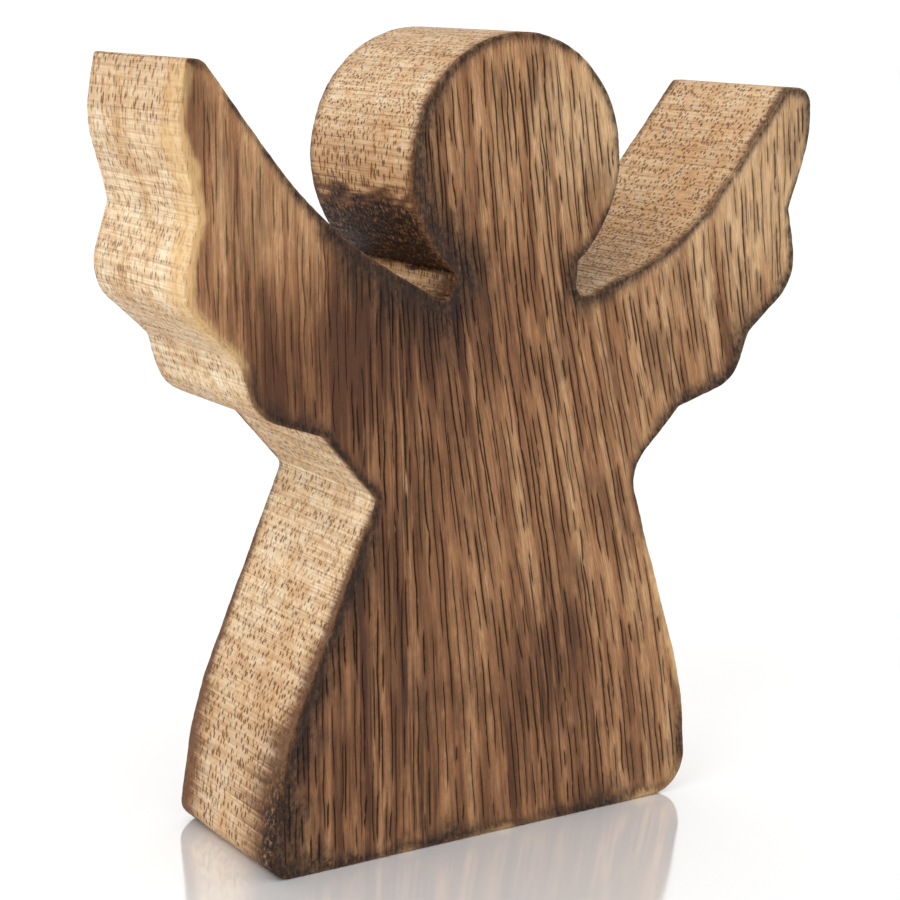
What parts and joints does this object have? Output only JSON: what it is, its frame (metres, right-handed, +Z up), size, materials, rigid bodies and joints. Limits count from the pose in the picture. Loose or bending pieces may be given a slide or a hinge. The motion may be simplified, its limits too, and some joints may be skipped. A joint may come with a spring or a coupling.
{
  "type": "wooden angel figurine",
  "caption": "Flat freestanding angel silhouette with raised scalloped wings, round head and flared gown, sawn from one thick plank and flame-darkened on its faces.",
  "frame": {"origin": "on the floor, midway across the wings and midway through the plank", "axes": "+X to the right seen from the front, +Y from the front face to the back face, +Z up to the head"},
  "size_m": [0.1301, 0.032, 0.14],
  "materials": {
    "flamed_wood": "brushed and oiled open-pored hardwood, front and back flame-darkened to mid brown, sawn edges left pale"
  },
  "bodies": {
    "root": {"angel_body": "flamed_wood"}
  },
  "joints": []
}
